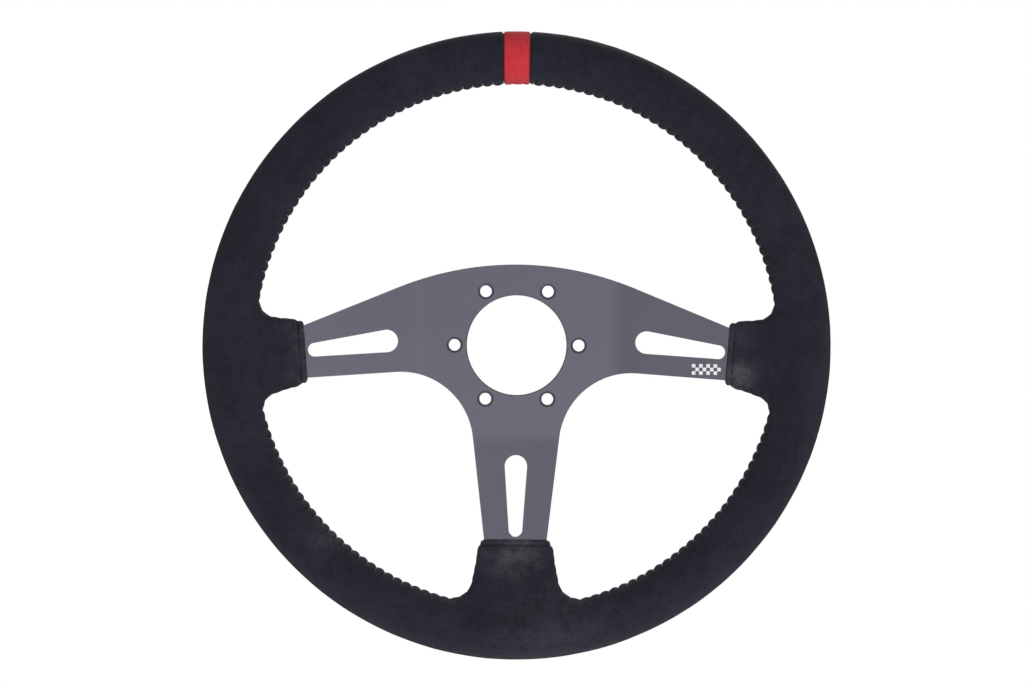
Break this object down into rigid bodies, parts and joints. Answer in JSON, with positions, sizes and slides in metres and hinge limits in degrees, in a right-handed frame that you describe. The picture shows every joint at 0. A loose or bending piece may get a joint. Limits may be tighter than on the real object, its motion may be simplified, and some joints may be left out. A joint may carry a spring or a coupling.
{
  "type": "racing steering wheel",
  "caption": "Round three-spoke racing steering wheel: suede rim sewn along its inner edge, red centre band, dished dark plate with tapered slots, open hub bore and bolt circle.",
  "frame": {"origin": "centre of the hub's rear face, on the wheel's axis, where it sits on a boss or a quick release", "axes": "+Y along the wheel's axis, away from the driver, +Z to twelve o'clock, +X to the driver's right"},
  "size_m": [0.35, 0.0417, 0.3498],
  "materials": {
    "anodised_plate": "dark grey satin anodised",
    "ring_aluminium": "plain drawn rod",
    "rivet_steel": "plain",
    "moulded_foam": "matt moulded skin",
    "black_suede": "black suede with a short nap",
    "red_suede": "red suede with a short nap",
    "black_thread": "waxed black thread",
    "red_thread": "waxed red thread"
  },
  "bodies": {
    "root": {"spoke_plate": "anodised_plate", "rim_ring": "ring_aluminium", "rivet_left_1": "rivet_steel", "rivet_left_2": "rivet_steel", "rivet_right_1": "rivet_steel", "rivet_right_2": "rivet_steel", "rivet_bottom_1": "rivet_steel", "rivet_bottom_2": "rivet_steel", "rim_foam": "moulded_foam", "cover_upper_left": "black_suede", "cover_upper_right": "black_suede", "cover_lower": "black_suede", "centre_band": "red_suede", "thread_upper_left": "black_thread", "thread_upper_right": "black_thread", "thread_lower_left": "black_thread", "thread_lower_right": "black_thread", "thread_band": "red_thread"}
  },
  "joints": []
}
